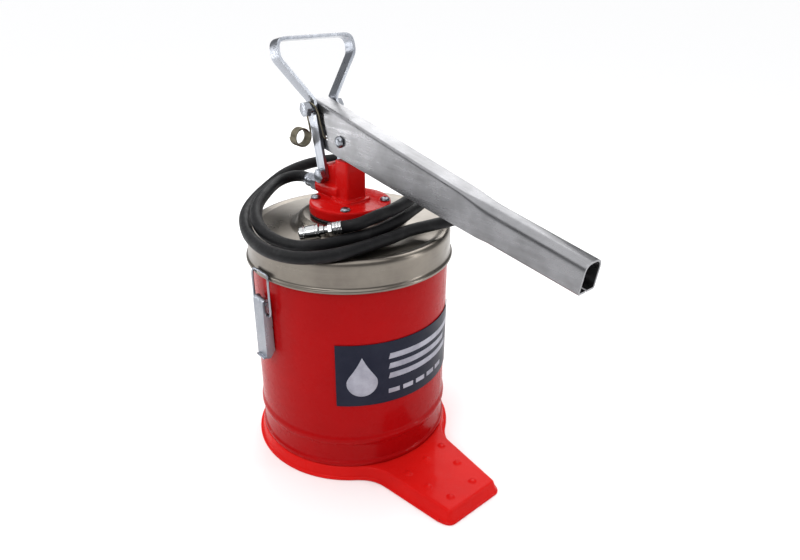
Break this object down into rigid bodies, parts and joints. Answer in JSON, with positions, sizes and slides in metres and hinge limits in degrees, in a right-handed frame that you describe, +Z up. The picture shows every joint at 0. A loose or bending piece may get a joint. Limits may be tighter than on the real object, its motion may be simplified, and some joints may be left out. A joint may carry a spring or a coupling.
{
  "type": "bucket grease pump",
  "caption": "Hand-operated bucket grease pump: pedal-footed bucket, clamped lid, pump head with a long channel lever, carrying strap, and a coiled hose ending in a nipple coupler.",
  "frame": {"origin": "centre of the bounding box without the hose, at floor level under the base plate", "axes": "+Z up, +X towards the foot pedal and the lever tip, +Y to the right-hand latch"},
  "size_m": [0.383, 0.2274, 0.4129],
  "materials": {
    "bucket_red": "glossy red enamel with small chips on the edges",
    "cast_red": "red enamel over a sand-cast surface",
    "lid_nickel": "polished nickel-grey plating, mirror-like",
    "lever_steel": "brushed bright plating with rounded shiny edges",
    "zinc": "satin zinc plating",
    "coupler_chrome": "bright chrome",
    "spring_wire": "dark oiled spring wire",
    "hose_rubber": "black hose cover with fine wrap marks",
    "seal_rubber": "black nitrile",
    "label_film": null,
    "machined_steel": "turned steel"
  },
  "bodies": {
    "base": {"base_plate": "bucket_red", "bucket_body": "bucket_red", "label": "label_film", "lid": "lid_nickel", "lid_gasket": "seal_rubber", "head_gasket": "seal_rubber", "pump_head": "cast_red", "rod_seal": "seal_rubber", "head_screw_1": "zinc", "head_screw_2": "zinc", "head_screw_3": "zinc", "head_screw_4": "zinc", "pump_tube": "machined_steel", "inlet_foot": "machined_steel", "lower_bolt": "zinc", "lower_nut": "zinc", "outlet_fitting": "zinc", "hose_ferrule": "zinc", "hose": "hose_rubber", "coupler_ferrule": "coupler_chrome", "coupler_adaptor": "coupler_chrome", "coupler_body": "coupler_chrome", "latch_bracket_left": "zinc", "latch_pin_left": "zinc", "latch_rivet_lower_left": "zinc", "latch_rivet_upper_left": "zinc", "latch_bracket_right": "zinc", "latch_pin_right": "zinc", "latch_rivet_lower_right": "zinc", "latch_rivet_upper_right": "zinc"},
    "strap": {"strap_handle": "zinc", "upper_bolt": "zinc", "upper_nut": "zinc", "torsion_spring": "spring_wire"},
    "lever": {"lever": "lever_steel", "rod_pin": "zinc", "rod_pin_nut": "zinc"},
    "rod": {"piston_rod": "machined_steel", "piston": "machined_steel", "piston_nut": "zinc"},
    "follower": {"follower_plate": "zinc", "follower_seal": "seal_rubber"},
    "cover_left": {"latch_cover_left": "zinc"},
    "bail_left": {"latch_bail_left": "zinc"},
    "cover_right": {"latch_cover_right": "zinc"},
    "bail_right": {"latch_bail_right": "zinc"}
  },
  "joints": [
    {"name": "strap_rock", "type": "hinge", "parent": "base", "child": "strap", "pos_m": [-0.1085, 0, 0.285], "axis": [0, -1, 0], "range_deg": [0, 6]},
    {"name": "lever_lift", "type": "hinge", "parent": "strap", "child": "lever", "pos_m": [-0.12237, 0, 0.34758], "axis": [0, -1, 0], "range_deg": [0, 40], "deforming": ["torsion_spring"]},
    {"name": "rod_stroke", "type": "slide", "parent": "base", "child": "rod", "axis": [0, 0, 1], "range_m": [0, 0.035]},
    {"name": "follower_rise", "type": "slide", "parent": "base", "child": "follower", "axis": [0, 0, 1], "range_m": [0, 0.165]},
    {"name": "latch_left_open", "type": "hinge", "parent": "base", "child": "cover_left", "pos_m": [-0.085, -0.105, 0.186], "axis": [-1, 0, 0], "range_deg": [0, 120]},
    {"name": "latch_left_bail", "type": "hinge", "parent": "cover_left", "child": "bail_left", "pos_m": [-0.085, -0.1048, 0.174], "axis": [-1, 0, 0], "range_deg": [-134, 0]},
    {"name": "latch_right_open", "type": "hinge", "parent": "base", "child": "cover_right", "pos_m": [-0.085, 0.105, 0.186], "axis": [1, 0, 0], "range_deg": [0, 120]},
    {"name": "latch_right_bail", "type": "hinge", "parent": "cover_right", "child": "bail_right", "pos_m": [-0.085, 0.1048, 0.174], "axis": [1, 0, 0], "range_deg": [-134, 0]}
  ],
  "couplings": [
    {"joint": "strap_rock", "follows": "lever_lift", "ratio": 0.14},
    {"joint": "rod_stroke", "follows": "lever_lift", "m_per_rad": 0.0488},
    {"joint": "latch_left_bail", "follows": "latch_left_open", "ratio": -1.1},
    {"joint": "latch_right_bail", "follows": "latch_right_open", "ratio": -1.1}
  ]
}
